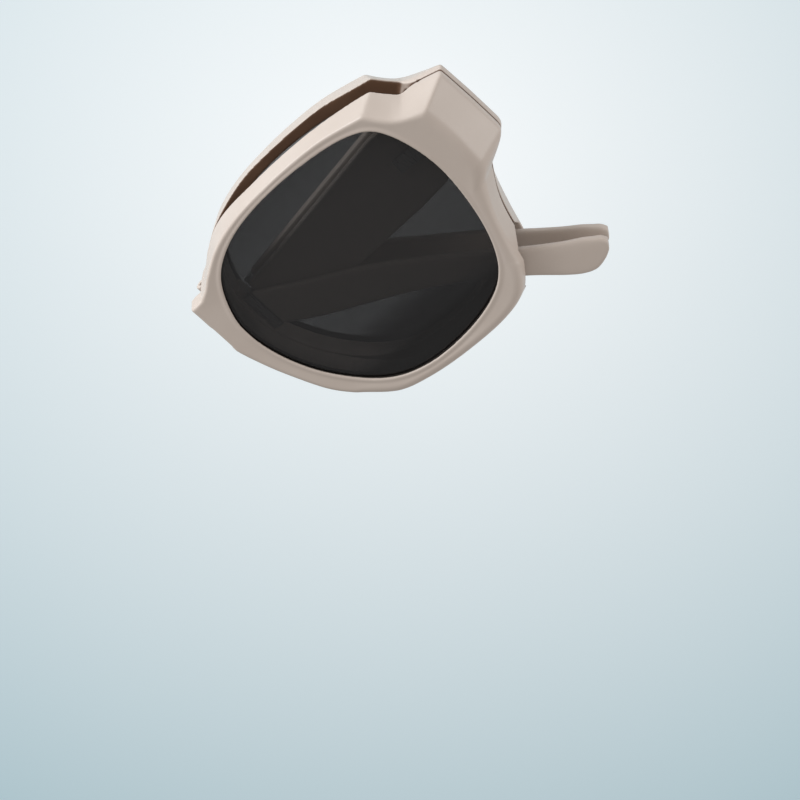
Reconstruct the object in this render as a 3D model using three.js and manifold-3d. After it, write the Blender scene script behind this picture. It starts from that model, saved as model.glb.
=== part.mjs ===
// Folding sunglasses, folded flat: the front is folded in half at the bridge with both lens
// fronts outward, and each temple is folded at its middle and in against its own lens.
//
// Millimetres. X runs from the bridge pin to the end pieces, Y is the brow side, and Z is up,
// out of the wearer's left half, which lies on the right half. The bridge pin runs along Y.
// Each half is drawn in its own frame (x, y, h), where h is the height above the plane between
// the halves: the front of the half is at h = HALF_DEPTH and its back looks towards h = 0.

import * as THREE from 'three';
import { mergeVertices } from 'three/addons/utils/BufferGeometryUtils.js';
import Module from 'manifold-3d';

const wasm = await Module();
wasm.setup();

// ---- driving dimensions -------------------------------------------------------------------
const HALF_DEPTH = 9.5; // front of a half above the plane between the halves
const GAP = 0.3; // clearance between separate pieces
const HALF_GAP = GAP / 2; // clearance of each half to the plane between them
const RIM_BACK = 2.4; // back of the rim where the temples lie between the halves
const CREASE = 0.45; // size of the broken front edge
const FACE_FALL = { depth: 0.6, end: 45 }; // the front curves back by this at the bridge
const EDGE_BAND = { end_piece: 2.0, rim: 0.35 }; // upright band round the back edge
const LENS_CENTRE = new THREE.Vector2(31, -10);
const LENS_BACK = 6.6;
const LENS_THICK = 1.5;
const LENS_LAP = 0.5; // how far the lens enters the groove of the rim
const GROOVE_DEEP = 0.95;

const PIN_R = 0.6; // bridge pin
const BRIDGE_KNUCKLE_R = 1.6;
const BRIDGE_TOP = 6.3;
const BRIDGE_BOTTOM = -6.5;
const BRIDGE_SPLIT = 2.15; // half the length of the middle knuckle
const LIP_X = -2.8; // the left half laps over the bridge joint as far as this
const LIP_BACK = 4.5; // back of that lip

const ROOT_PIN = { x: 60.6, h: 3.9, r: 0.55 };
const ROOT_KNUCKLE_R = 1.35;
const TEMPLE_ROOT_X = 58.7;
const MID_PIN = { x: 6.5, h: 4.05, r: 0.5 };
const MID_KNUCKLE_R = 1.25;
const TEMPLE_MID_X = 8.5;
const FRONT_ARM = { back: 1.5, face: 3.9 }; // h of the front arm's two faces
const REAR_THICK = 1.9;
const ORIGIN = { x: 34.7, y: -14.4 }; // middle of the folded pair, seen from above

// ---- materials ----------------------------------------------------------------------------
const plastic = () => new THREE.MeshStandardMaterial({ color: '#c3b8af', roughness: 0.42, metalness: 0 });
const tint = () => new THREE.MeshStandardMaterial({ color: '#2b2c2e', roughness: 0.12, metalness: 0 });
const steel = () => new THREE.MeshStandardMaterial({ color: '#b9b6b2', roughness: 0.3, metalness: 1 });

// ---- solids -------------------------------------------------------------------------------
function toSolid(geometry) {
  const bare = geometry.index ? geometry.toNonIndexed() : geometry.clone();
  bare.deleteAttribute('normal');
  bare.deleteAttribute('uv');
  const merged = mergeVertices(bare, 1e-4);
  return new wasm.Manifold(new wasm.Mesh({
    numProp: 3,
    vertProperties: new Float32Array(merged.attributes.position.array),
    triVerts: new Uint32Array(merged.index.array),
  }));
}

function toGeometry(solid) {
  const mesh = solid.getMesh();
  const geometry = new THREE.BufferGeometry();
  geometry.setAttribute('position', new THREE.BufferAttribute(mesh.vertProperties, 3));
  geometry.setIndex(new THREE.BufferAttribute(mesh.triVerts, 1));
  return geometry;
}

function box(x0, x1, y0, y1, h0, h1) {
  const geometry = new THREE.BoxGeometry(x1 - x0, y1 - y0, h1 - h0);
  return toSolid(geometry.translate((x0 + x1) / 2, (y0 + y1) / 2, (h0 + h1) / 2));
}

// A round bar along Y.
function bar(x, h, radius, y0, y1, sides = 20) {
  const geometry = new THREE.CylinderGeometry(radius, radius, y1 - y0, sides);
  return toSolid(geometry.translate(x, (y0 + y1) / 2, h));
}

// A flat outline [x, y] from h0 to h1.
function plate(points, h0, h1) {
  const shape = new THREE.Shape(points.map(([x, y]) => new THREE.Vector2(x, y)));
  const geometry = new THREE.ExtrudeGeometry(shape, { depth: h1 - h0, bevelEnabled: false });
  return toSolid(geometry.translate(0, 0, h0));
}

// Six times the signed volume of a triangle mesh: negative when its faces point inwards.
function signedVolume(points, faces) {
  const corner = (i) => new THREE.Vector3().fromArray(points, 3 * i);
  let sum = 0;
  for (let i = 0; i < faces.length; i += 3) {
    sum += corner(faces[i]).dot(corner(faces[i + 1]).cross(corner(faces[i + 2])));
  }
  return sum;
}

// A closed body from rings of equal length: the first and last ring meet when closed is set,
// and are capped as fans otherwise.
function skin(rings, closed) {
  const size = rings[0].length;
  const points = rings.flat().flat();
  const faces = [];
  const last = closed ? rings.length : rings.length - 1;
  for (let i = 0; i < last; i += 1) {
    const a = i * size;
    const b = ((i + 1) % rings.length) * size;
    for (let j = 0; j < size; j += 1) {
      const k = (j + 1) % size;
      faces.push(a + j, b + j, b + k, a + j, b + k, a + k);
    }
  }
  if (!closed) {
    const end = (rings.length - 1) * size;
    for (let j = 1; j < size - 1; j += 1) faces.push(0, j, j + 1, end, end + j + 1, end + j);
  }
  if (signedVolume(points, faces) < 0) faces.reverse();
  const geometry = new THREE.BufferGeometry();
  geometry.setAttribute('position', new THREE.Float32BufferAttribute(points, 3));
  geometry.setIndex(faces);
  return toSolid(geometry);
}

const lerp = (a, b, t) => a + (b - a) * t;
const mix = (p, q, t) => new THREE.Vector2(lerp(p.x, q.x, t), lerp(p.y, q.y, t));

// ---- outlines of one half -----------------------------------------------------------------
// Stretches of the outer outline, clockwise from the top of the bridge. Each has the edge of
// the front face, the edge of the back, how many steps it takes, and where it is thickened
// down to the plane between the halves.
const OUTER = [
  { // brow
    front: [[LIP_X, 6.1], [6.0, 10.4], [12.0, 13.4], [19.4, 15.7], [28, 16.9], [37, 17.4], [46, 17.1], [55.8, 15.2]],
    back: [[LIP_X, 6.7], [6.0, 11.1], [12, 14.2], [19.5, 16.4], [28, 17.6], [37.5, 18.1], [47, 17.8], [58.5, 15.9]],
    steps: 22,
  },
  { // drop from the brow's corner to the valley beside the end piece
    front: [[55.8, 15.2], [57.4, 12.5], [59.4, 10.3], [61.4, 9.0]],
    back: [[58.5, 15.9], [59.9, 13.7], [61.3, 11.9], [62.8, 10.6]],
    steps: 5,
  },
  { front: [[61.4, 9.0], [61.6, 8.9]], back: [[62.8, 10.6], [63.1, 10.5]], steps: 1 },
  { // top of the end piece
    front: [[61.6, 8.9], [66.0, 7.0]],
    back: [[63.1, 10.5], [71.6, 8.5]],
    steps: 3,
    thick: true,
  },
  { // outer facet of the end piece
    front: [[66.0, 7.0], [66.5, -1.8], [65.7, -9.4]],
    back: [[71.6, 8.5], [72.0, 0.1], [72.2, -8.2]],
    steps: 4,
    thick: true,
  },
  { // underside of the end piece
    front: [[65.7, -9.4], [64.6, -11.3], [63.4, -13.0]],
    back: [[72.2, -8.2], [71.2, -10.2], [66.5, -13.0]],
    steps: 3,
    thick: true,
  },
  { front: [[63.4, -13.0], [63.0, -13.6]], back: [[66.5, -13.0], [64.6, -14.0]], steps: 1, thick: true },
  { // outer side
    front: [[63.0, -13.6], [60.2, -19.4], [57.6, -25.8], [55.2, -31.6]],
    back: [[64.6, -14.0], [61.0, -20.2], [58.2, -26.6], [55.2, -34.5]],
    steps: 9,
  },
  { // lower side
    front: [[55.2, -31.6], [50.4, -36.6], [43.7, -38.7], [33, -39.6], [23.4, -39.1], [16.1, -37.2], [9.5, -31.9]],
    back: [[55.2, -34.5], [50.8, -38.1], [43.7, -39.4], [33, -40.0], [23.2, -39.5], [15.7, -37.6], [9.1, -32.2]],
    steps: 18,
  },
  { // nose side
    front: [[9.5, -31.9], [5.4, -26.4], [1.2, -17.4], [-1.1, -11.2], [LIP_X, -6.8]],
    back: [[9.1, -32.2], [5.0, -26.6], [1.0, -17.5], [-1.1, -11.2], [LIP_X, -6.8]],
    steps: 10,
  },
  { front: [[LIP_X, -6.8], [LIP_X, 6.1]], back: [[LIP_X, -6.8], [LIP_X, 6.7]], steps: 4 }, // bridge end
];

// The visible edge of the lens.
const LENS_EDGE = [
  [2.3, -6.2], [3.8, 1.0], [8.4, 8.3], [16.9, 13.0], [28, 15.1], [40, 15.3], [50.6, 13.8], [56.3, 9.6],
  [59.2, -1], [58.6, -12], [55.2, -24.4], [49.4, -32.3], [39, -36.2], [26, -36.9], [16.5, -33.6],
  [8.6, -25.1], [4.0, -15.7],
];
const lensCurve = new THREE.CatmullRomCurve3(
  LENS_EDGE.map(([x, y]) => new THREE.Vector3(x, y, 0)), true, 'centripetal');
const lensRay = lensCurve.getPoints(360).map((p) => {
  const d = new THREE.Vector2(p.x, p.y).sub(LENS_CENTRE);
  return { angle: Math.atan2(d.y, d.x), reach: d.length() };
}).sort((a, b) => a.angle - b.angle);

// Point on the lens edge in the direction of p, moved out by offset.
function lensPoint(p, offset = 0) {
  const d = p.clone().sub(LENS_CENTRE);
  const angle = Math.atan2(d.y, d.x);
  let k = lensRay.findIndex((ray) => ray.angle > angle);
  if (k < 0) k = 0;
  const b = lensRay[k];
  const a = lensRay[(k + lensRay.length - 1) % lensRay.length];
  const span = (b.angle - a.angle + 2 * Math.PI) % (2 * Math.PI);
  const t = span > 0 ? ((angle - a.angle + 2 * Math.PI) % (2 * Math.PI)) / span : 0;
  return d.setLength(lerp(a.reach, b.reach, t) + offset).add(LENS_CENTRE);
}

function lensOutline(offset) {
  return lensCurve.getPoints(72).slice(0, -1).map((p) => {
    const q = lensPoint(new THREE.Vector2(p.x, p.y), offset);
    return [q.x, q.y];
  });
}

// The rim's back comes down to the plane between the halves towards the bridge, and part of
// the way down at the outer side.
const TAPER = { start: 9, end: 26 };
const SIDE = { x0: 50, x1: 57, y0: -10, y1: -16, back: 0.5 };
const BROW = { y0: 6, y1: 12, back: 3.6 };
function backHeight(p) {
  const { smoothstep } = THREE.MathUtils;
  const side = smoothstep(p.x, SIDE.x0, SIDE.x1) * smoothstep(-p.y, -SIDE.y0, -SIDE.y1);
  const back = lerp(RIM_BACK, BROW.back, smoothstep(p.y, BROW.y0, BROW.y1));
  return lerp(HALF_GAP, lerp(back, SIDE.back, side), smoothstep(p.x, TAPER.start, TAPER.end));
}

// The front of the rim curves back a little towards the bridge.
function frontHeight(x) {
  return HALF_DEPTH - FACE_FALL.depth * (1 - THREE.MathUtils.smoothstep(x, 0, FACE_FALL.end));
}

// ---- rim ----------------------------------------------------------------------------------
const BLOCK_X = 63.2; // inner face of the end piece below the rim's back

function rimSection(front, back, thick) {
  const inner = lensPoint(front);
  const out = front.clone().sub(inner).normalize();
  const low = backHeight(back);
  const edge = thick ? HALF_GAP : low;
  const reach = thick ? (back.x - BLOCK_X) / (back.x - inner.x) : 0.4;
  const at = (p, h) => [p.x, p.y, h];
  const along = (t) => mix(back, inner, t);
  const innerLow = backHeight(inner);
  const top = frontHeight(front.x);
  const band = thick ? EDGE_BAND.end_piece : EDGE_BAND.rim;
  return [
    at(inner, LENS_BACK + LENS_THICK + GAP),
    at(lensPoint(front, 0.25), frontHeight(inner.x) - 0.2),
    at(lensPoint(front, 0.7), frontHeight(inner.x)),
    at(front.clone().addScaledVector(out, -CREASE), top),
    at(mix(front, back, CREASE / top), top - CREASE),
    at(back, edge + band),
    at(back, edge),
    at(along(Math.max(reach, 0.02)), thick ? HALF_GAP : lerp(low, innerLow, reach)),
    at(along(Math.max(reach, 0.02) + 0.02), thick ? RIM_BACK : lerp(low, innerLow, reach + 0.02)),
    at(inner, thick ? RIM_BACK : innerLow),
    at(inner, LENS_BACK - GAP),
    at(lensPoint(front, GROOVE_DEEP), LENS_BACK - GAP),
    at(lensPoint(front, GROOVE_DEEP), LENS_BACK + LENS_THICK + GAP),
  ];
}

function rimBody() {
  const rings = [];
  for (const stretch of OUTER) {
    const [front, back] = ['front', 'back'].map(
      (side) => new THREE.SplineCurve(stretch[side].map(([x, y]) => new THREE.Vector2(x, y))));
    for (let i = 0; i < stretch.steps; i += 1) {
      const t = i / stretch.steps;
      rings.push(rimSection(front.getPoint(t), back.getPoint(t), Boolean(stretch.thick)));
    }
  }
  return skin(rings, true);
}

// Where the ear piece leaves the rim, its back is cut away as far as NOTCH_TOP.
const NOTCH = [[43.2, -31.1], [45.5, -22.8], [52.6, -27.7], [62, -35], [57, -44], [50.2, -39.2]];
const NOTCH_TOP = 5.9;
const HINGE_POCKET = { x0: 57, x1: 62.6, y: 5.6, h: 5.6 };
// Where the front arm's root lies behind the rim.
const ROOT_RELIEF = { x0: 54, x1: 60.4, y0: -9, y1: 9.2 };

function rim(side) {
  const far = 30;
  let body = rimBody();
  const p = HINGE_POCKET;
  body = body.subtract(box(p.x0, p.x1, -p.y, p.y, -1, p.h));
  const q = ROOT_RELIEF;
  body = body.subtract(box(q.x0, q.x1, q.y0, q.y1, -1, FRONT_ARM.face + GAP));
  body = body.subtract(plate(NOTCH, -1, NOTCH_TOP));
  const lapped = side === 'left';
  body = body.subtract(box(-far, GAP, -far, far, -1, lapped ? LIP_BACK : LIP_BACK - GAP));
  if (lapped) {
    // room in the lip for the right half's lens when the front is open
    const lensRoom = lensOutline(LENS_LAP + GAP).map(([x, y]) => [-x, y]);
    body = body.subtract(plate(lensRoom, LENS_BACK - GAP, LENS_BACK + LENS_THICK + GAP));
  } else {
    // the rebate that takes the left half's lip when the front is open
    const rebate = [[-far, 20], [-LIP_X + GAP, 20], [-LIP_X + GAP, -7.6], [1.6, -12], [GAP, -15], [-far, -15]];
    body = body.subtract(plate(rebate, LIP_BACK - GAP - 0.2, HALF_DEPTH + 1));
  }
  const middle = [[-BRIDGE_SPLIT, BRIDGE_SPLIT]];
  const outer = [[BRIDGE_BOTTOM, -BRIDGE_SPLIT - GAP], [BRIDGE_SPLIT + GAP, BRIDGE_TOP]];
  const [mine, others] = lapped ? [middle, outer] : [outer, middle];
  for (const [y0, y1] of others) {
    body = body.subtract(bar(0, 0, BRIDGE_KNUCKLE_R + GAP, y0 - GAP, y1 + GAP, 24));
  }
  for (const [y0, y1] of mine) {
    body = body.add(bar(0, 0, BRIDGE_KNUCKLE_R, y0, y1, 24));
    body = body.add(box(0, BRIDGE_KNUCKLE_R + 1, y0, y1, HALF_GAP, BRIDGE_KNUCKLE_R + 1));
  }
  return body.subtract(bar(0, 0, PIN_R + GAP, -far, far, 16));
}

function lens() {
  return plate(lensOutline(LENS_LAP), LENS_BACK, LENS_BACK + LENS_THICK);
}

// Pad on the nose side of the rim, behind the front.
const PAD = { from: [2.4, -19.6], to: [7.6, -29.4], off: 1.3, thick: 1.3, h0: 0.9, h1: 5.4 };
function nosePad() {
  const a = new THREE.Vector2(...PAD.from);
  const b = new THREE.Vector2(...PAD.to);
  const along = b.clone().sub(a).normalize();
  const out = new THREE.Vector2(along.y, -along.x);
  const side = (p, d) => p.clone().addScaledVector(out, d);
  const near = [0, 0.25, 0.5, 0.75, 1].map((t) => side(mix(a, b, t), PAD.off));
  const far = [0.88, 0.7, 0.5, 0.3, 0.12].map(
    (t) => side(mix(a, b, t), PAD.off + PAD.thick * Math.sin(Math.PI * t) ** 0.5));
  return plate([...near, ...far].map((p) => [p.x, p.y]), PAD.h0, PAD.h1);
}

// ---- temples ------------------------------------------------------------------------------
const FRONT_ARM_EDGE = [
  [TEMPLE_ROOT_X, -7.6], [TEMPLE_ROOT_X, 6.6], [57.4, 8.3], [50.5, 8.2], [30, 4.4], [TEMPLE_MID_X, 0.4],
  [TEMPLE_MID_X, -11.2], [10, -12.0], [30, -11.8], [48, -10.9], [56.6, -9.9],
];
function frontArm() {
  const c = 0.5; // broken long edges
  const centre = new THREE.Vector2(33, -2);
  const inset = FRONT_ARM_EDGE.map(([x, y]) => {
    const d = new THREE.Vector2(x, y).sub(centre);
    return [x - Math.sign(d.x) * (Math.abs(d.x) > 22 ? c : 0), y - Math.sign(d.y) * c];
  });
  const ring = (edge, h) => edge.map(([x, y]) => [x, y, h]);
  return skin([
    ring(inset, FRONT_ARM.back), ring(FRONT_ARM_EDGE, FRONT_ARM.back + c),
    ring(FRONT_ARM_EDGE, FRONT_ARM.face - c), ring(inset, FRONT_ARM.face),
  ], false);
}

// The ear piece: centre line x, y, half its width, and the height of its outer face.
const REAR_ARM = [
  [TEMPLE_MID_X, -5.6, 4.9, 6.1], [18, -10.4, 4.6, 6.1], [28, -15.9, 4.1, 6.1], [38, -22.0, 3.6, 5.5],
  [48, -29.0, 3.3, 5.2], [55.4, -34.9, 3.3, 4.7], [61.3, -40.2, 4.0, 4.15], [65.8, -43.1, 4.0, 3.6],
];
const REAR_STEPS = 20;
const TIP = [[68.2, -43.8, 3.3, 3.45], [69.8, -44.4, 1.9, 3.4]];

function rearArm() {
  const spine = new THREE.CatmullRomCurve3(REAR_ARM.map(([x, y, , h]) => new THREE.Vector3(x, y, h)));
  const width = new THREE.CatmullRomCurve3(REAR_ARM.map(([, , w], i) => new THREE.Vector3(i, w, 0)));
  const rings = [];
  const c = 0.5;
  const section = (p, dir, w) => {
    const n = new THREE.Vector2(-dir.y, dir.x).normalize();
    const at = (s, h) => [p.x + n.x * s, p.y + n.y * s, h];
    const low = p.z - REAR_THICK;
    return [
      at(-w + c, low), at(-w, low + c), at(-w, p.z - c), at(-w + c, p.z),
      at(w - c, p.z), at(w, p.z - c), at(w, low + c), at(w - c, low),
    ];
  };
  for (let i = 0; i <= REAR_STEPS; i += 1) {
    const t = i / REAR_STEPS;
    const dir = i === 0 ? new THREE.Vector3(0, 0, 0).setX(1) : spine.getTangent(t);
    rings.push(section(spine.getPoint(t), dir, width.getPoint(t).y));
  }
  for (const [x, y, w, h] of TIP) {
    rings.push(section(new THREE.Vector3(x, y, h), new THREE.Vector3(0.83, -0.56, 0), w));
  }
  return skin(rings, false);
}

// ---- hinges at the end pieces --------------------------------------------------------------
const ROOT = { half: 4.9, split: 1.7 };
function rootPin() {
  return bar(ROOT_PIN.x, ROOT_PIN.h, ROOT_PIN.r, -ROOT.half - 0.3, ROOT.half + 0.3, 14);
}

function rootFrameLeaf() {
  const { x, h } = ROOT_PIN;
  let body = box(x + 0.1, x + 1.7, -ROOT.half, ROOT.half, h + 0.2, HINGE_POCKET.h - GAP);
  body = body.subtract(bar(x, h, ROOT_KNUCKLE_R + GAP, -ROOT.split - GAP, ROOT.split + GAP));
  for (const sign of [-1, 1]) {
    const [y0, y1] = [sign * (ROOT.split + GAP), sign * ROOT.half].sort((a, b) => a - b);
    body = body.add(bar(x, h, ROOT_KNUCKLE_R, y0, y1));
  }
  return body.subtract(bar(x, h, ROOT_PIN.r + GAP, -9, 9, 14));
}

function rootTempleLeaf() {
  const { x, h } = ROOT_PIN;
  const top = FRONT_ARM.face + GAP;
  let body = bar(x, h, ROOT_KNUCKLE_R, -ROOT.split, ROOT.split);
  body = body.add(box(51.2, x, -ROOT.split, ROOT.split, top, top + 0.8));
  return body.subtract(bar(x, h, ROOT_PIN.r + GAP, -9, 9, 14));
}

// ---- hinges in the middle of the temples -----------------------------------------------------
const MID = { y0: -10.4, y1: -0.9, split0: -7.4, split1: -3.9 };
function midPin() {
  return bar(MID_PIN.x, MID_PIN.h, MID_PIN.r, MID.y0 - 0.3, MID.y1 + 0.3, 14);
}

function midFrontLeaf() {
  const { x, h } = MID_PIN;
  let body = box(x + 0.2, TEMPLE_MID_X - GAP, MID.y0, MID.y1, FRONT_ARM.back + 0.2, h - 0.6);
  body = body.subtract(bar(x, h, MID_KNUCKLE_R + GAP, MID.split0 - GAP, MID.split1 + GAP));
  for (const [y0, y1] of [[MID.y0, MID.split0 - GAP], [MID.split1 + GAP, MID.y1]]) {
    body = body.add(bar(x, h, MID_KNUCKLE_R, y0, y1));
  }
  return body.subtract(bar(x, h, MID_PIN.r + GAP, -20, 20, 14));
}

function midRearLeaf() {
  const { x, h } = MID_PIN;
  let body = box(x + 0.2, TEMPLE_MID_X - GAP, MID.y0 + 0.1, MID.y1, h + 0.6, 5.9);
  for (const [y0, y1] of [[MID.y0 - 1, MID.split0], [MID.split1, MID.y1 + 1]]) {
    body = body.subtract(bar(x, h, MID_KNUCKLE_R + GAP, y0, y1));
  }
  body = body.add(bar(x, h, MID_KNUCKLE_R, MID.split0, MID.split1));
  return body.subtract(bar(x, h, MID_PIN.r + GAP, -20, 20, 14));
}

// ---- assembly --------------------------------------------------------------------------------
// The left half's frame is the world's, raised by HALF_DEPTH. The right half is its mirror image.
function mirrored(geometry) {
  const copy = geometry.clone();
  const p = copy.attributes.position;
  for (let i = 0; i < p.count; i += 1) p.setZ(i, -p.getZ(i));
  const index = copy.index.array;
  for (let i = 0; i < index.length; i += 3) [index[i + 1], index[i + 2]] = [index[i + 2], index[i + 1]];
  return copy;
}

const PIECES = [
  ['rim', rim, plastic],
  ['lens', lens, tint],
  ['nose_pad', nosePad, plastic],
  ['temple_front', frontArm, plastic],
  ['temple_rear', rearArm, plastic],
  ['root_hinge_frame_leaf', rootFrameLeaf, steel],
  ['root_hinge_temple_leaf', rootTempleLeaf, steel],
  ['root_hinge_screw', rootPin, steel],
  ['mid_hinge_front_leaf', midFrontLeaf, steel],
  ['mid_hinge_rear_leaf', midRearLeaf, steel],
  ['mid_hinge_pin', midPin, steel],
];

const sunglasses = new THREE.Group();
const halves = new THREE.Group();
halves.position.set(-ORIGIN.x, -ORIGIN.y, HALF_DEPTH);
sunglasses.add(halves);

for (const side of ['left', 'right']) {
  for (const [name, make, material] of PIECES) {
    const geometry = toGeometry(make(side));
    const mesh = new THREE.Mesh(side === 'left' ? geometry : mirrored(geometry), material());
    mesh.name = `${side}_${name}`;
    halves.add(mesh);
  }
}

const bridgePin = new THREE.Mesh(
  toGeometry(bar(0, 0, PIN_R, BRIDGE_BOTTOM - 0.2, BRIDGE_TOP + 0.1, 14)), steel());
bridgePin.name = 'bridge_pin';
halves.add(bridgePin);

export default sunglasses;
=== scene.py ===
"""Folding sunglasses, folded flat, in a soft pale studio.

The CAD frame gives the place of every piece. Each half of the pair is drawn in its own
frame (x, y, h) in millimetres, as the CAD model is: x runs from the bridge pin to the end
piece, y is the brow side, and h is the height above the plane between the halves. half()
turns that into metres in the shared frame, mirrored for the right half.
"""

import math

import bmesh
import bpy
import numpy as np
from mathutils import Euler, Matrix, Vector


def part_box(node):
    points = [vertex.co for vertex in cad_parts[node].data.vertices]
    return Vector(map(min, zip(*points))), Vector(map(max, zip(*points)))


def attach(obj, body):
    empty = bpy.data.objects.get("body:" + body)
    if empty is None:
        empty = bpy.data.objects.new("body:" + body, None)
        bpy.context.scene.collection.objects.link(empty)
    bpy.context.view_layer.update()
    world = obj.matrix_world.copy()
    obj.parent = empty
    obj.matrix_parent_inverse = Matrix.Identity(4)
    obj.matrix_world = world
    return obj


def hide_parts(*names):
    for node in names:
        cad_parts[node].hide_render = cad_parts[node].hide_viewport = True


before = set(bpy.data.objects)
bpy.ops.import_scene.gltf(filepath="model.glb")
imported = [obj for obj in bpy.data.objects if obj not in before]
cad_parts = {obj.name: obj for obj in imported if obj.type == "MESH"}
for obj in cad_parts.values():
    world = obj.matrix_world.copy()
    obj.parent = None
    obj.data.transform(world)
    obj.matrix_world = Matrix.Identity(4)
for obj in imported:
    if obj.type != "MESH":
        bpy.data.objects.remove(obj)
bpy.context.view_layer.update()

MM = 0.001
PIN_TOP = 6.4  # y of the bridge pin's brow end

# ---- places taken from the frame ------------------------------------------------------------
pin_low, pin_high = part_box("bridge_pin")
PIN_X = (pin_low.x + pin_high.x) / 2
PIN_Y = pin_high.y - PIN_TOP * MM
MID_Z = (pin_low.z + pin_high.z) / 2
HALF_DEPTH = MID_Z / MM  # front of a half above the plane between the halves


def half(side, x, y, h):
    """A point of one half, in metres in the shared frame."""
    sign = 1 if side == "left" else -1
    return (PIN_X + x * MM, PIN_Y + y * MM, MID_Z + sign * h * MM)


# ---- driving dimensions of a half, in millimetres -------------------------------------------
HALF_GAP = 0.15  # from the plane between the halves to the back of a half
GAP = 0.3  # between pieces
BEYOND, BELOW = 30, -1  # a cutting tool ends here, clear of the half

# The rim's back: its height at the bottom, the brow and the outer side, and where it changes.
RIM_BACK, BROW_BACK, SIDE_BACK = 2.4, 3.7, 0.5
BRIDGE_RISE = (9, 26)  # x over which the back rises from the bridge
BROW_RISE = (6, 12)  # y over which it rises to the brow
BROW_FALL, FALL_SHARE = (44, 57), 0.75  # x over which the brow's rise is lost, and how much
SIDE_X, SIDE_DROP = (50, 57), (10, 16)  # x, and distance below the pin, where the side begins

# The rim's front: it falls by FACE_FALL from x FALL_END to the bridge pin, and a bead holds
# the lens in a groove.
FACE_FALL, FALL_END = 0.6, 45
LENS_CENTRE = np.array([31.0, -10.0])
LENS_BACK, LENS_FRONT = 6.6, 8.1
BEAD_THICK, BEAD_ROUND = 0.55, 0.28
BEAD_RISE = 0.16  # the bead stands this far above the face beside it
BEAD_FLAT, BEAD_FOOT = 0.55, 1.1  # where its flat and its slope end, from the lens edge
GROOVE_DEEP = 0.95

LAP_X, LAP_BACK = -2.8, 4.5  # the bridge reaches over the pin to this x, above this height
BLOCK_X = 63.2  # inner wall of the end piece
END_BAND, RIM_BAND = 2.2, 0.35  # height of the upright band along the back edge
OUTLINE_STEP = 0.4
OUTLINE_SOFT, BLOCK_SOFT, CREASE_SOFT = 0.45, 0.7, 2.0  # smoothing along the outline
VOXEL = 0.2  # mesh size of the moulded pieces


# ---- small tools ----------------------------------------------------------------------------
def smoothstep(x, low, high):
    t = np.clip((x - low) / (high - low), 0.0, 1.0)
    return t * t * (3 - 2 * t)


def lerp(a, b, t):
    return a + (b - a) * t


def spline(points, t):
    """A point on the Catmull-Rom curve through points, with t from 0 to 1."""
    pts = np.asarray(points, float)
    last = len(pts) - 1
    place = t * last
    i = min(int(place), last - 1)
    w = place - i
    p0, p1 = pts[max(i - 1, 0)], pts[i]
    p2, p3 = pts[i + 1], pts[min(i + 2, last)]
    v0, v1 = (p2 - p0) / 2, (p3 - p1) / 2
    cubic = 2 * p1 - 2 * p2 + v0 + v1
    square = -3 * p1 + 3 * p2 - 2 * v0 - v1
    return cubic * w**3 + square * w**2 + v0 * w + p1


def soften(values, sigma):
    """A closed row of values smoothed by a Gaussian of sigma steps."""
    reach = int(math.ceil(3 * sigma))
    offsets = np.arange(-reach, reach + 1)
    weights = np.exp(-0.5 * (offsets / sigma) ** 2)
    weights /= weights.sum()
    return sum(w * np.roll(values, -k, axis=0) for k, w in zip(offsets, weights))


def bend(p, corner, q, steps):
    """Points of the quadratic curve from p to q that rounds off corner."""
    ts = np.linspace(0, 1, steps)
    return [(1 - t) ** 2 * p + 2 * t * (1 - t) * corner + t * t * q for t in ts]


def circle_angles(count):
    return [2 * math.pi * k / count for k in range(count)]


def mesh_object(name, vertices, faces):
    mesh = bpy.data.meshes.new(name)
    mesh.from_pydata([tuple(v) for v in vertices], [], faces)
    bm = bmesh.new()
    bm.from_mesh(mesh)
    bmesh.ops.recalc_face_normals(bm, faces=bm.faces)
    bm.to_mesh(mesh)
    bm.free()
    obj = bpy.data.objects.new(name, mesh)
    bpy.context.scene.collection.objects.link(obj)
    return obj


def loft(name, side, rings, closed):
    """A closed body through rings of points (x, y, h)."""
    size = len(rings[0])
    vertices = [half(side, *p) for ring in rings for p in ring]
    faces = []
    for i in range(len(rings) if closed else len(rings) - 1):
        a, b = i * size, (i + 1) % len(rings) * size
        faces += [(a + j, b + j, b + (j + 1) % size, a + (j + 1) % size) for j in range(size)]
    if not closed:
        end = (len(rings) - 1) * size
        faces += [tuple(range(size)), tuple(range(end + size - 1, end - 1, -1))]
    return mesh_object(name, vertices, faces)


def plate(name, side, outline, low, high):
    """A flat outline [(x, y)] from height low to high."""
    rings = [[(x, y, h) for x, y in outline] for h in (low, high)]
    return loft(name, side, rings, closed=False)


def block(name, side, x, y, h):
    corners = [(x[0], y[0]), (x[1], y[0]), (x[1], y[1]), (x[0], y[1])]
    return plate(name, side, corners, *h)


def bar(name, side, x, h, radius, y0, y1, sides=48):
    """A round bar along y."""
    turn = circle_angles(sides)
    rings = [
        [(x + radius * math.cos(a), y, h + radius * math.sin(a)) for a in turn] for y in (y0, y1)
    ]
    return loft(name, side, rings, closed=False)


def apply_modifiers(obj):
    graph = bpy.context.evaluated_depsgraph_get()
    mesh = bpy.data.meshes.new_from_object(obj.evaluated_get(graph))
    obj.modifiers.clear()
    obj.data = mesh


def carve(obj, tool, operation):
    """Cuts tool from obj, or joins it to obj, and removes the tool."""
    mod = obj.modifiers.new("carve", "BOOLEAN")
    mod.operation = operation
    mod.solver = "MANIFOLD"
    mod.object = tool
    apply_modifiers(obj)
    bpy.data.objects.remove(tool, do_unlink=True)


def shade_smooth(obj):
    obj.data.polygons.foreach_set("use_smooth", [True] * len(obj.data.polygons))


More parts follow.
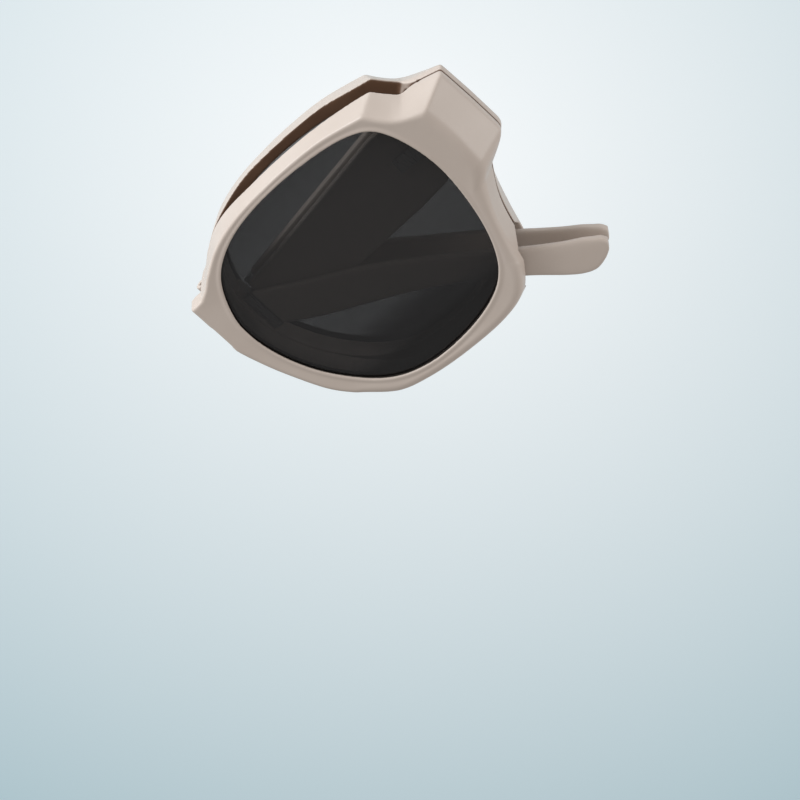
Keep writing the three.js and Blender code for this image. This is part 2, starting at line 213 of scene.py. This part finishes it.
def cast(obj, rounds):
    """Gives obj the soft edges of a moulded piece: an even mesh, smoothed a number of times."""
    remesh = obj.modifiers.new("even", "REMESH")
    remesh.mode = "VOXEL"
    remesh.voxel_size = VOXEL * MM
    smooth = obj.modifiers.new("soft", "SMOOTH")
    smooth.iterations = rounds
    smooth.factor = 0.5
    apply_modifiers(obj)
    shade_smooth(obj)


# Where the painted shade between the halves fades in: how squarely a surface faces the plane
# between the halves, minus its height above that plane, and its x.
GAP_SHADE_FACING, GAP_SHADE_DEPTH, GAP_SHADE_X = (0.55, 0.85), (-5.4, -4.6), (6, 12)


def mark_gap_shade(obj, side):
    """Marks for painted shade the surfaces of a rim that face the plane between the halves,
    outside the bridge.
    """
    mesh = obj.data
    count = len(mesh.vertices)
    place, normal = np.empty(3 * count), np.empty(3 * count)
    mesh.vertices.foreach_get("co", place)
    mesh.vertex_normals.foreach_get("vector", normal)
    sign = 1 if side == "left" else -1
    height = sign * (place[2::3] - MID_Z) / MM
    facing = -sign * normal[2::3]
    x = (place[0::3] - PIN_X) / MM
    shade_weight = smoothstep(facing, *GAP_SHADE_FACING) * smoothstep(-height, *GAP_SHADE_DEPTH)
    shade_weight *= smoothstep(x, *GAP_SHADE_X)
    mesh.attributes.new("painted_gap_shade", "FLOAT", "POINT").data.foreach_set("value", shade_weight)


def finish_piece(obj, material, body, node):
    """Puts obj in the place of a CAD node, on its body."""
    obj.data.materials.clear()  # the cuts leave an empty slot
    obj.data.materials.append(material)
    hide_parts(node)
    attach(obj, body)


# ---- materials ------------------------------------------------------------------------------
NOISE_SPAN = (0.3, 0.7)  # what the noise texture's values mostly keep to
BLACK = (0.001, 0.001, 0.001, 1)
LENS_FADE = (-0.011, -0.020)  # y in metres over which the lens grows denser
LENS_ALPHA, LENS_ALPHA_LOW = 0.61, 0.9


def new_material(name):
    mat = bpy.data.materials.new(name)
    mat.use_nodes = True
    tree = mat.node_tree
    return mat, tree, tree.nodes["Principled BSDF"]


def object_coordinates(tree):
    return tree.nodes.new("ShaderNodeTexCoord").outputs["Object"]


def attribute(tree, name):
    node = tree.nodes.new("ShaderNodeAttribute")
    node.attribute_name = name
    return node.outputs["Fac"]


def noise(tree, scale, detail, stretch=(1, 1, 1)):
    mapping = tree.nodes.new("ShaderNodeMapping")
    mapping.inputs["Scale"].default_value = stretch
    texture = tree.nodes.new("ShaderNodeTexNoise")
    texture.inputs["Scale"].default_value = scale
    texture.inputs["Detail"].default_value = detail
    tree.links.new(object_coordinates(tree), mapping.inputs["Vector"])
    tree.links.new(mapping.outputs["Vector"], texture.inputs["Vector"])
    return texture.outputs["Fac"]


def feed(tree, socket, value):
    """Gives an input socket its value, which is a plain one or another node's output."""
    if isinstance(value, bpy.types.NodeSocket):
        tree.links.new(value, socket)
    else:
        socket.default_value = value


def map_range(tree, source, span, result, curve="LINEAR"):
    """A value that goes from result[0] to result[1] as source goes over span."""
    node = tree.nodes.new("ShaderNodeMapRange")
    node.interpolation_type = curve
    for name, value in zip(("From Min", "From Max", "To Min", "To Max"), (*span, *result)):
        feed(tree, node.inputs[name], value)
    feed(tree, node.inputs["Value"], source)
    return node.outputs["Result"]


def two_colours(tree, source, first, second):
    """A colour that goes from first to second as source goes over the noise's span."""
    ramp = tree.nodes.new("ShaderNodeValToRGB")
    for element, position, colour in zip(ramp.color_ramp.elements, NOISE_SPAN, (first, second)):
        element.position = position
        element.color = (*colour, 1)
    tree.links.new(source, ramp.inputs["Fac"])
    return ramp.outputs["Color"]


def mix_colours(tree, factor, first, second):
    """first where factor is 0 and second where it is 1."""
    mix = tree.nodes.new("ShaderNodeMix")
    mix.data_type = "RGBA"
    sockets = {socket.identifier: socket for socket in (*mix.inputs, *mix.outputs)}
    feed(tree, sockets["Factor_Float"], factor)
    feed(tree, sockets["A_Color"], first)
    feed(tree, sockets["B_Color"], second)
    return sockets["Result_Color"]


def add_bump(tree, shader, source, strength, distance):
    bump = tree.nodes.new("ShaderNodeBump")
    bump.inputs["Strength"].default_value = strength
    bump.inputs["Distance"].default_value = distance
    tree.links.new(source, bump.inputs["Height"])
    tree.links.new(bump.outputs["Normal"], shader.inputs["Normal"])


def frame_plastic():
    """Satin injection-moulded plastic: faint clouding of the colour and a fine spark-eroded skin.

    The faces marked for it, inside the rims where the halves face each other, get a dark brown
    painted shade for the gap between the halves.
    """
    mat, tree, shader = new_material("satin_greige_plastic")
    clouds = noise(tree, 90, 3)
    grain = noise(tree, 5200, 2)
    outside = two_colours(tree, clouds, (0.555, 0.470, 0.408), (0.585, 0.500, 0.438))
    # painted shade: the dark brown given to the faces in the shaded gap between the halves
    gap_shade_colour = two_colours(tree, clouds, (0.120, 0.062, 0.036), (0.150, 0.080, 0.046))
    colour = mix_colours(tree, attribute(tree, "painted_gap_shade"), outside, gap_shade_colour)
    tree.links.new(colour, shader.inputs["Base Color"])
    tree.links.new(map_range(tree, grain, NOISE_SPAN, (0.36, 0.46)), shader.inputs["Roughness"])
    add_bump(tree, shader, grain, 0.06, 0.00004)
    shader.inputs["Specular IOR Level"].default_value = 0.42
    shader.inputs["Coat Weight"].default_value = 0.2
    shader.inputs["Coat Roughness"].default_value = 0.34
    return mat


def lens_tint():
    """Grey-black tint that lets a little light through, but for the lens's blackened edge, whose
    black is also painted shade of the groove round the lens.

    It is darker and denser towards the bottom of the lens.
    """
    mat, tree, shader = new_material("charcoal_tint")
    haze = noise(tree, 60, 2)
    edge = attribute(tree, "edge")
    split = tree.nodes.new("ShaderNodeSeparateXYZ")
    tree.links.new(object_coordinates(tree), split.inputs["Vector"])
    low = map_range(tree, split.outputs["Y"], LENS_FADE, (0, 1), "SMOOTHSTEP")
    body = two_colours(tree, low, (0.0195, 0.0190, 0.0200), (0.0085, 0.0083, 0.0087))
    # the edge mixes in black: the lens's blackened edge, and painted shade of the groove round it
    tree.links.new(mix_colours(tree, edge, body, BLACK), shader.inputs["Base Color"])
    clear = map_range(tree, low, (0, 1), (LENS_ALPHA, LENS_ALPHA_LOW))
    tree.links.new(map_range(tree, edge, (0, 1), (clear, 1)), shader.inputs["Alpha"])
    tree.links.new(map_range(tree, haze, NOISE_SPAN, (0.05, 0.08)), shader.inputs["Roughness"])
    shader.inputs["IOR"].default_value = 1.45
    return mat


def hinge_steel():
    mat, tree, shader = new_material("brushed_hinge_steel")
    lines = noise(tree, 1800, 3, stretch=(4, 0.25, 4))
    colour = two_colours(tree, lines, (0.42, 0.41, 0.39), (0.56, 0.55, 0.53))
    tree.links.new(colour, shader.inputs["Base Color"])
    tree.links.new(map_range(tree, lines, NOISE_SPAN, (0.24, 0.36)), shader.inputs["Roughness"])
    add_bump(tree, shader, lines, 0.15, 0.00003)
    shader.inputs["Metallic"].default_value = 1.0
    return mat


PLASTIC, TINT, STEEL = frame_plastic(), lens_tint(), hinge_steel()


# ---- outlines of a half ---------------------------------------------------------------------
# Stretches of the rim's outer outline, clockwise from the top of the bridge: the edge of the
# front face, the edge of the back, whether the stretch reaches down to the mid-plane, and how
# far its front crease is rounded.
OUTER = [
    # brow side of the bridge
    ([(LAP_X, 6.1), (0.5, 6.3)],
     [(LAP_X, 6.5), (0.5, 6.8)], 0, 1.0),
    # brow
    ([(0.5, 6.3), (3.1, 7.7), (6.0, 9.9), (12.0, 13.4), (19.4, 15.7), (28, 16.9), (37, 17.4),
      (46, 17.1), (55.8, 15.3)],
     [(0.5, 6.8), (3.1, 8.2), (6.0, 10.6), (12, 14.2), (19.5, 16.5), (28, 17.6), (37.5, 18.05),
      (47, 17.8), (58.6, 16.1)], 0, 0.6),
    # dip between the brow and the end piece
    ([(55.8, 15.3), (57.5, 12.8), (59.5, 10.5), (61.5, 9.2)],
     [(58.6, 16.1), (60.1, 14.2), (61.6, 12.5), (63.0, 11.1)], 0, 0.7),
    ([(61.5, 9.2), (62.4, 8.8)],
     [(63.0, 11.1), (64.5, 10.7)], 0, 1.0),
    # end piece: top, end and underside
    ([(62.4, 8.8), (66.1, 7.2)],
     [(64.5, 10.7), (71.9, 8.9)], 1, 1.0),
    ([(66.1, 7.2), (66.5, -1.8), (65.7, -9.4)],
     [(71.9, 8.9), (72.2, 0.1), (72.2, -8.2)], 1, 1.8),
    ([(65.7, -9.4), (64.6, -11.3), (63.2, -13.3)],
     [(72.2, -8.2), (71.2, -10.2), (65.4, -13.6)], 1, 2.4),
    # outer side
    ([(63.2, -13.3), (60.2, -19.4), (57.8, -25.8), (55.8, -32.0)],
     [(64.9, -13.9), (61.0, -20.2), (58.5, -26.8), (56.4, -35.4)], 0, 3.0),
    # bottom
    ([(55.8, -32.0), (51.2, -37.6), (44.1, -40.0), (33, -40.5), (23.3, -39.8), (15.7, -37.8),
      (9.1, -32.3)],
     [(56.4, -35.4), (51.6, -39.3), (44.1, -40.7), (33, -40.9), (23.1, -40.2), (15.3, -38.2),
      (8.7, -32.6)], 0, 1.8),
    # nose side
    ([(9.1, -32.3), (4.9, -26.8), (0.7, -17.7), (-1.5, -11.5), (LAP_X, -7.2)],
     [(8.7, -32.6), (4.5, -27.0), (0.5, -17.8), (-1.6, -11.5), (LAP_X, -7.2)], 0, 0.9),
    # end of the bridge's lap
    ([(LAP_X, -7.2), (LAP_X, 6.1)],
     [(LAP_X, -7.2), (LAP_X, 6.5)], 0, 1.5),
]

LENS_EDGE = [
    (2.3, -6.2), (3.8, 1.0), (8.4, 8.3), (16.9, 13.0), (28, 15.1), (40, 15.3), (50.6, 13.8),
    (56.3, 9.6), (59.2, -1), (58.6, -12), (55.2, -24.4), (49.4, -32.3), (39, -36.2), (26, -36.9),
    (16.5, -33.6), (8.6, -25.1), (4.0, -15.7),
]
REACH_COUNT, REACH_SOFT = 1440, 12  # directions in which the lens edge is known, and smoothing


def outer_outline():
    """Rows along the rim's outline: front x, y, back x, y, thickening of the edge, and crease."""
    rows = []
    for front, back, thick, crease in OUTER:
        length = sum(math.dist(p, q) for p, q in zip(front, front[1:]))
        steps = max(2, round(length / OUTLINE_STEP))
        for i in range(steps):
            rows.append((*spline(front, i / steps), *spline(back, i / steps), thick, crease))
    rows = soften(np.array(rows), OUTLINE_SOFT / OUTLINE_STEP)
    rows[:, 4] = soften(rows[:, 4], BLOCK_SOFT / OUTLINE_STEP)
    rows[:, 5] = soften(rows[:, 5], CREASE_SOFT / OUTLINE_STEP)
    return rows


def lens_reach():
    """Angle and reach of the lens edge from LENS_CENTRE, over three turns for interpolation."""
    before, after = LENS_EDGE[-2:], LENS_EDGE[:3]
    ring = before + LENS_EDGE + after
    last = len(ring) - 1
    places = [len(before) + k * len(LENS_EDGE) / REACH_COUNT for k in range(REACH_COUNT)]
    offset = np.array([spline(ring, place / last) for place in places]) - LENS_CENTRE
    angle = np.arctan2(offset[:, 1], offset[:, 0])
    order = np.argsort(angle)
    angle, reach = angle[order], np.hypot(*offset.T)[order]
    turn = 2 * math.pi
    reach = soften(reach, REACH_SOFT)
    return np.concatenate([angle - turn, angle, angle + turn]), np.tile(reach, 3)


LENS_ANGLE, LENS_REACH = lens_reach()


def lens_point(towards, offset=0.0):
    """The point of the lens edge in the direction of a point, moved out by offset."""
    d = np.asarray(towards[:2], float) - LENS_CENTRE
    reach = np.interp(math.atan2(d[1], d[0]), LENS_ANGLE, LENS_REACH)
    return LENS_CENTRE + d / np.linalg.norm(d) * (reach + offset)


def lens_outline(count, offset):
    return [
        lens_point(LENS_CENTRE + (math.cos(a), math.sin(a)), offset) for a in circle_angles(count)
    ]


def front_height(x):
    return HALF_DEPTH - FACE_FALL * (1 - smoothstep(x, 0, FALL_END))


def back_height(p):
    x, y = p
    side = smoothstep(x, *SIDE_X) * smoothstep(-y, *SIDE_DROP)
    brow = smoothstep(y, *BROW_RISE) * (1 - FALL_SHARE * smoothstep(x, *BROW_FALL))
    back = lerp(RIM_BACK, BROW_BACK, brow)
    return lerp(HALF_GAP, lerp(back, SIDE_BACK, side), smoothstep(x, *BRIDGE_RISE))


# ---- rims -----------------------------------------------------------------------------------
STEP_SHARE, STEP_LIMITS = 0.4, (0.1, 0.8)  # place of the back's step, from the edge to the lens
STEP_WIDTH = 0.02
BACK_ROUND, LOW_ROUND, WALL_ROUND = 0.3, 0.25, 0.4  # how far these corners are rounded
BACK_FROM, BACK_TO = 0.4, 0.6  # the flat part of the back edge's band
CREASE_SHARE, FOOT_SHARE = 0.6, 0.45  # most of the face that the crease and bead may take
BEAD_STEPS, CREASE_STEPS, CORNER_STEPS = 6, 12, 4


def rim_section(front, back, thick, crease):
    """A ring of points round the rim's section, from the bead outwards, then in by the back.

    front and back are places on the outline at the front face and at the back, thick is 1
    where the section reaches the mid-plane, and crease is how far the front edge is rounded.
    """
    inner, groove = lens_point(front), lens_point(front, GROOVE_DEEP)
    width = float(np.linalg.norm(front - inner))
    top, bead_top = front_height(front[0]), front_height(inner[0])
    low, inner_low = back_height(back), back_height(inner)
    edge = lerp(low, HALF_GAP, thick)
    band = lerp(RIM_BAND, END_BAND, thick)
    crease = min(crease, CREASE_SHARE * width)

    def at(p, h):
        return np.array([p[0], p[1], h])

    front_edge, back_edge, back_low = at(front, top), at(back, edge + band), at(back, edge)
    side = (back_edge - front_edge) / np.linalg.norm(back_edge - front_edge)
    face = at((front - inner) / width, 0)
    inward = at(inner, inner_low) - back_low
    inward /= np.linalg.norm(inward)

    def under(share):
        """Height of the back, a share of the way from its outer edge to the lens."""
        return lerp(low, inner_low, share)

    share = STEP_SHARE
    if thick > 0.5:
        share = (back[0] - BLOCK_X) / max(back[0] - inner[0], 1e-6)
    share = float(np.clip(share, *STEP_LIMITS))
    past = share + STEP_WIDTH
    step_low = at(lerp(back, inner, share), lerp(under(share), HALF_GAP, thick))
    step_high = at(lerp(back, inner, past), lerp(under(past), RIM_BACK, thick))
    wall = at(inner, lerp(inner_low, RIM_BACK, thick))
    bead = at(inner, bead_top)
    foot = at(inner, bead_top - BEAD_RISE) + face * min(BEAD_FOOT, FOOT_SHARE * width)
    crease_ends = (front_edge - crease * face, front_edge + crease * side)
    band_ends = (lerp(back_edge, back_low, BACK_FROM), lerp(back_edge, back_low, BACK_TO))
    return [
        *bend(at(inner, bead_top - BEAD_ROUND), bead, bead + BEAD_ROUND * face, BEAD_STEPS),
        bead + face * BEAD_FLAT,
        foot,
        *bend(crease_ends[0], front_edge, crease_ends[1], CREASE_STEPS),
        *bend(back_edge - BACK_ROUND * side, back_edge, band_ends[0], CORNER_STEPS),
        *bend(band_ends[1], back_low, back_low + LOW_ROUND * inward, CORNER_STEPS),
        step_low,
        step_high,
        *bend(wall + WALL_ROUND * face, wall, wall + at((0, 0), WALL_ROUND), CORNER_STEPS),
        at(inner, LENS_BACK - GAP),
        at(groove, LENS_BACK - GAP),
        at(groove, bead_top - BEAD_THICK),
        at(inner, bead_top - BEAD_THICK),
    ]


# Room for the temple hinge and for the end of the temple, as x, y and height.
POCKET = ((57, 62.6), (-5.6, 5.6), (BELOW, 5.6))
RELIEF = ((54, 60.4), (-9, 9.2), (BELOW, 4.2))
# The way out for the ear piece: a notch in the rim's back, and a slope from its near side.
NOTCH = [(43.2, -31.1), (45.5, -22.8), (52.6, -27.7), (62, -35), (57, -44), (50.2, -39.2)]
NOTCH_TOP = 5.95
RAMP_START = np.array([45.5, -22.8])
RAMP_ALONG, RAMP_UP = np.array([0.804, -0.594]), np.array([0.594, 0.804])
RAMP_REACH, RAMP_WIDTH, RAMP_OVER = (4.0, 26.0), 3.5, 0.1
# A half-round nick in the top of the end piece: x, height, radius, and y from and to.
NICK = (66.6, 0.1, 0.42, 6, 14)
# The right rim's space for the left rim's lap, and the strip that closes the gap to its lens.
REBATE = [(-BEYOND, 20), (3.1, 20), (3.1, -7.6), (2.0, -12), (GAP, -17), (-BEYOND, -17)]
REBATE_FLOOR = LAP_BACK - GAP - 0.2
SEAL = ((2.95, 3.7), (-8.4, -1.0), (1.5, LENS_BACK - 0.1))
ROOM_OFFSET, ROOM_COUNT = 0.8, 180  # the left rim's lap clears the right lens edge
# The bridge hinge: its radii, and where its knuckles end along y.
KNUCKLE_R, PIN_R, PIN_PLAY = 1.6, 0.6, 0.12
SPLIT, KNUCKLE_LOW, KNUCKLE_HIGH = 2.15, -6.5, 6.3
RIM_ROUNDS = 6


def notch_ramp(side):
    """The slope that lets the back edge of the rim rise into the notch for the ear piece."""
    section = [
        (-RAMP_OVER, BELOW), (RAMP_WIDTH, BELOW), (RAMP_WIDTH, RAMP_OVER), (-RAMP_OVER, NOTCH_TOP),
    ]
    rings = [
        [(*(RAMP_START + reach * RAMP_ALONG + s * RAMP_UP), h) for s, h in section]
        for reach in RAMP_REACH
    ]
    return loft("notch_ramp", side, rings, closed=False)


def add_knuckles(body, side):
    """The bridge hinge: one knuckle on the left rim between two on the right rim."""
    middle = [(-SPLIT, SPLIT)]
    outer = [(KNUCKLE_LOW, -SPLIT - GAP), (SPLIT + GAP, KNUCKLE_HIGH)]
    own, others = (middle, outer) if side == "left" else (outer, middle)
    for y0, y1 in others:
        room = bar("room", side, 0, 0, KNUCKLE_R + GAP, y0 - GAP, y1 + GAP)
        carve(body, room, "DIFFERENCE")
    for span in own:
        carve(body, bar("knuckle", side, 0, 0, KNUCKLE_R, *span), "UNION")
        web = block("web", side, (0, KNUCKLE_R + 1), span, (HALF_GAP, KNUCKLE_R + 1))
        carve(body, web, "UNION")
    pin_way = bar("pin_way", side, 0, 0, PIN_R + PIN_PLAY, -BEYOND, BEYOND)
    carve(body, pin_way, "DIFFERENCE")


def rim(side):
    rings = [rim_section(row[:2], row[2:4], row[4], row[5]) for row in outer_outline()]
    body = loft(f"{side}_rim_moulding", side, rings, closed=True)
    lapped = side == "left"
    joint_top = LAP_BACK if lapped else LAP_BACK - GAP
    cuts = [
        block("pocket", side, *POCKET),
        block("relief", side, *RELIEF),
        plate("notch", side, NOTCH, BELOW, NOTCH_TOP),
        notch_ramp(side),
        block("joint", side, (-BEYOND, GAP), (-BEYOND, BEYOND), (BELOW, joint_top)),
        bar("nick", side, *NICK),
    ]
    if lapped:
        opposite = [(-x, y) for x, y in lens_outline(ROOM_COUNT, ROOM_OFFSET)]
        cuts.append(plate("lens_room", side, opposite, LENS_BACK - GAP, LENS_FRONT + GAP))
    else:
        cuts.append(plate("rebate", side, REBATE, REBATE_FLOOR, HALF_DEPTH + 1))
    for cut in cuts:
        carve(body, cut, "DIFFERENCE")
    if not lapped:
        carve(body, block("seal", side, *SEAL), "UNION")
    add_knuckles(body, side)
    cast(body, RIM_ROUNDS)
    # marks the faces in the gap between the halves for their painted shade
    mark_gap_shade(body, side)
    finish_piece(body, PLASTIC, f"{side}_front", f"{side}_rim")


# ---- lenses ---------------------------------------------------------------------------------
LENS_RINGS, LENS_TURN = 26, 200
LENS_CROWN = 0.9  # how far the middle of the lens stands above its edge
LENS_BITE = 0.5  # how far the edge sits in the groove
LENS_TOP, LENS_EDGE_TOP = 8.0, 7.75
LENS_UNDER, LENS_EDGE_LOW = LENS_BACK + 0.1, LENS_BACK + 0.4
FACE_SHARE, DARK_SHARE = 0.985, 0.968  # where the chamfer and the black edge start; the black is partly the lens's own blackened edge and partly painted shade of the groove


def lens(side):
    """A shallow dome with a chamfered, blackened edge, whose black also serves as painted shade of
    the groove.
    """
    outline = lens_outline(LENS_TURN, LENS_BITE)

    def ring(share, h):
        return [(*lerp(LENS_CENTRE, p, share), h) for p in outline]

    angles = [math.pi / 2 * k / LENS_RINGS for k in range(1, LENS_RINGS + 1)]
    shares = [math.sin(a) * FACE_SHARE for a in angles]
    top = [ring(s, LENS_TOP + LENS_CROWN * (1 - s * s)) for s in shares]
    under = [ring(s, LENS_UNDER + 0.5 * LENS_CROWN * (1 - s * s)) for s in reversed(shares)]
    rings = top + [ring(1.0, LENS_EDGE_TOP), ring(1.0, LENS_EDGE_LOW)] + under
    body = loft(f"{side}_lens_dome", side, rings, closed=False)
    # black edge band: the lens's own blackening and painted shade of the groove
    black_edge_and_shade = [smoothstep(s, DARK_SHARE, FACE_SHARE) for s in shares]
    values = [v for v in black_edge_and_shade + [1.0, 1.0] + black_edge_and_shade[::-1] for _ in range(LENS_TURN)]
    body.data.attributes.new("edge", "FLOAT", "POINT").data.foreach_set("value", values)
    shade_smooth(body)
    finish_piece(body, TINT, f"{side}_front", f"{side}_lens")


# ---- temples --------------------------------------------------------------------------------
FRONT_ARM = [
    (58.7, -7.6), (58.7, 6.6), (57.4, 8.3), (50.5, 8.2), (30, 4.4), (8.5, 0.4),
    (8.5, -11.2), (10, -12.0), (30, -11.8), (48, -10.9), (56.6, -9.9),
]
FRONT_ARM_HEIGHTS = (1.5, 3.9)
# The ear piece: its upper edge, its lower edge, and the height of its outer face.
REAR_ARM = [
    ((8.5, -0.7), (8.5, -10.5), 6.1), ((20.1, -6.9), (15.9, -14.9), 6.1),
    ((29.9, -12.0), (26.0, -19.7), 6.1), ((39.8, -18.8), (36.0, -25.1), 5.5),
    ((49.9, -26.2), (46.2, -31.8), 5.2), ((57.3, -32.2), (53.4, -37.6), 4.7),
    ((63.2, -36.6), (59.2, -43.2), 4.15), ((66.9, -39.0), (62.2, -45.6), 3.8),
    ((68.9, -40.6), (64.8, -46.5), 3.65), ((70.1, -41.6), (67.6, -45.9), 3.55),
    ((70.8, -43.0), (69.6, -44.8), 3.5),
]
REAR_STEPS = 120
REAR_THICK, TIP_EXTRA, TIP_SHARE = 1.95, 0.35, (0.6, 0.9)  # it thickens over TIP_SHARE
SECTION_POWER, SECTION_COUNT = 5.0, 40
FRONT_ARM_ROUNDS, REAR_ARM_ROUNDS = 40, 3


def rounded_section(a, b, low, high):
    """Ring of a flat bar between points a and b and heights low and high, with soft edges."""
    ring = []
    for angle in circle_angles(SECTION_COUNT):
        c, s = math.cos(angle), math.sin(angle)
        across = math.copysign(abs(c) ** (2 / SECTION_POWER), c)
        up = math.copysign(abs(s) ** (2 / SECTION_POWER), s)
        ring.append((*lerp(a, b, (1 + across) / 2), lerp(low, high, (1 + up) / 2)))
    return ring


def rear_arm(side):
    upper, lower, heights = zip(*REAR_ARM)
    tops = [(h, h) for h in heights]
    rings = []
    for k in range(REAR_STEPS + 1):
        t = k / REAR_STEPS
        high = spline(tops, t)[0]
        low = high - REAR_THICK - TIP_EXTRA * smoothstep(t, *TIP_SHARE)
        rings.append(rounded_section(spline(lower, t), spline(upper, t), low, high))
    body = loft(f"{side}_ear_piece", side, rings, closed=False)
    cast(body, REAR_ARM_ROUNDS)
    finish_piece(body, PLASTIC, f"{side}_arm_rear", f"{side}_temple_rear")


def front_arm(side):
    body = plate(f"{side}_temple_plate", side, FRONT_ARM, *FRONT_ARM_HEIGHTS)
    cast(body, FRONT_ARM_ROUNDS)
    finish_piece(body, PLASTIC, f"{side}_arm_front", f"{side}_temple_front")


# ---- small pieces ---------------------------------------------------------------------------
PAD_EDGE, STEEL_EDGE = 0.25, 0.06
STEEL_NODES = (
    "root_hinge_frame_leaf", "root_hinge_temple_leaf", "root_hinge_screw",
    "mid_hinge_front_leaf", "mid_hinge_rear_leaf", "mid_hinge_pin",
)
PIN_ENDS = (KNUCKLE_LOW + 0.5, KNUCKLE_HIGH - 0.7)


def keep(node, material, bevel):
    """Breaks the edges of a CAD node and gives it its material."""
    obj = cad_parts[node]
    obj.data.materials.clear()
    obj.data.materials.append(material)
    edges = obj.modifiers.new("broken_edges", "BEVEL")
    edges.width = bevel * MM
    edges.segments = 2
    edges.limit_method = "ANGLE"
    edges.angle_limit = math.radians(40)


def bridge_pin():
    body = bar("bridge_pin_turned", "left", 0, 0, PIN_R, *PIN_ENDS)
    finish_piece(body, STEEL, "right_front", "bridge_pin")


for side in ("left", "right"):
    rim(side)
    lens(side)
    rear_arm(side)
    front_arm(side)
    keep(f"{side}_nose_pad", PLASTIC, PAD_EDGE)
    for node in STEEL_NODES:
        keep(f"{side}_{node}", STEEL, STEEL_EDGE)
bridge_pin()


# ---- floor, light and camera ----------------------------------------------------------------
FLOOR_SIZE, FLOOR_DROP = 6.0, 0.35
FLOOR_COLOURS = {
    0.0: (0.52, 0.53, 0.54),  # beyond the glow
    0.07: (0.375, 0.495, 0.54),  # its edge, a painted darker ring
    1.0: (0.825, 0.845, 0.855),  # its middle, the brightest painted light
}
LIGHT_POOL_SHIFT, LIGHT_POOL_SCALE = (0.49, 0.46, 0), (3.7, 3.7, 0)  # of the painted pool of light, over the floor's x and y in metres
CAMERA_PLACE = (0.4351, 0.4064, 1.0508)
CAMERA_TARGET = (-0.02404, -0.0286, MID_Z)
CAMERA_ROLL, CAMERA_ANGLE = -176.747, 8.0  # degrees; the angle is the width of its view


def floor_material():
    """Pale paper with a painted pool of light, a round glow which fades out under and around the
    glasses; the paper also gives off this colour as light.
    """
    mat, tree, shader = new_material("pale_paper")
    place = tree.nodes.new("ShaderNodeMapping")
    place.inputs["Location"].default_value = LIGHT_POOL_SHIFT
    place.inputs["Scale"].default_value = LIGHT_POOL_SCALE
    light_pool = tree.nodes.new("ShaderNodeTexGradient")
    light_pool.gradient_type = "SPHERICAL"
    ramp = tree.nodes.new("ShaderNodeValToRGB")
    ramp.color_ramp.elements.new(0.5)
    for element, (position, colour) in zip(ramp.color_ramp.elements, FLOOR_COLOURS.items()):
        element.position = position
        element.color = (*colour, 1)
    tree.links.new(object_coordinates(tree), place.inputs["Vector"])
    tree.links.new(place.outputs["Vector"], light_pool.inputs["Vector"])
    tree.links.new(light_pool.outputs["Fac"], ramp.inputs["Fac"])
    # the painted pool of light is both the floor's colour and the light it gives off
    for socket in ("Base Color", "Emission Color"):
        tree.links.new(ramp.outputs["Color"], shader.inputs[socket])
    # the floor glows with its painted colour, though it is no lamp
    shader.inputs["Emission Strength"].default_value = 0.36
    shader.inputs["Roughness"].default_value = 0.9
    return mat


def add_floor():
    corners = [(x * FLOOR_SIZE, y * FLOOR_SIZE, -FLOOR_DROP)
               for x, y in ((-1, -1), (1, -1), (1, 1), (-1, 1))]
    floor = mesh_object("paper_floor", corners, [(0, 1, 2, 3)])
    floor.data.materials.append(floor_material())


def add_light(name, direction, size, power, colour, distance=1.4):
    """A soft square lamp that shines at the object from direction."""
    data = bpy.data.lights.new(name, "AREA")
    data.shape = "SQUARE"
    data.size = size
    data.energy = power
    data.color = colour
    lamp = bpy.data.objects.new(name, data)
    away = Vector(direction).normalized()
    lamp.location = away * distance
    lamp.rotation_euler = (-away).to_track_quat("-Z", "Y").to_euler()
    bpy.context.scene.collection.objects.link(lamp)


def add_camera():
    """A long lens, looking down on the pair with the brow up in the picture."""
    data = bpy.data.cameras.new("camera")
    data.sensor_width = 36
    data.angle = math.radians(CAMERA_ANGLE)
    data.clip_end = 50
    camera = bpy.data.objects.new("camera", data)
    camera.location = CAMERA_PLACE
    aim = (Vector(CAMERA_TARGET) - camera.location).to_track_quat("-Z", "Y")
    roll = Euler((0, 0, math.radians(CAMERA_ROLL))).to_quaternion()
    camera.rotation_mode = "QUATERNION"
    camera.rotation_quaternion = aim @ roll
    bpy.context.scene.collection.objects.link(camera)
    bpy.context.scene.camera = camera


def set_world():
    world = bpy.data.worlds.new("soft_room")
    world.use_nodes = True
    shade = world.node_tree.nodes["Background"]
    shade.inputs["Color"].default_value = (1.0, 0.985, 0.97, 1)
    shade.inputs["Strength"].default_value = 0.42
    bpy.context.scene.world = world
    bpy.context.scene.view_settings.view_transform = "Standard"


add_floor()
add_light("brow_softbox", (-0.22, 0.95, 0.22), size=0.9, power=21, colour=(0.965, 1.0, 1.03))
add_light("side_softbox", (0.88, -0.42, 0.18), size=0.7, power=6.5, colour=(1.0, 0.99, 0.98))
add_camera()
set_world()
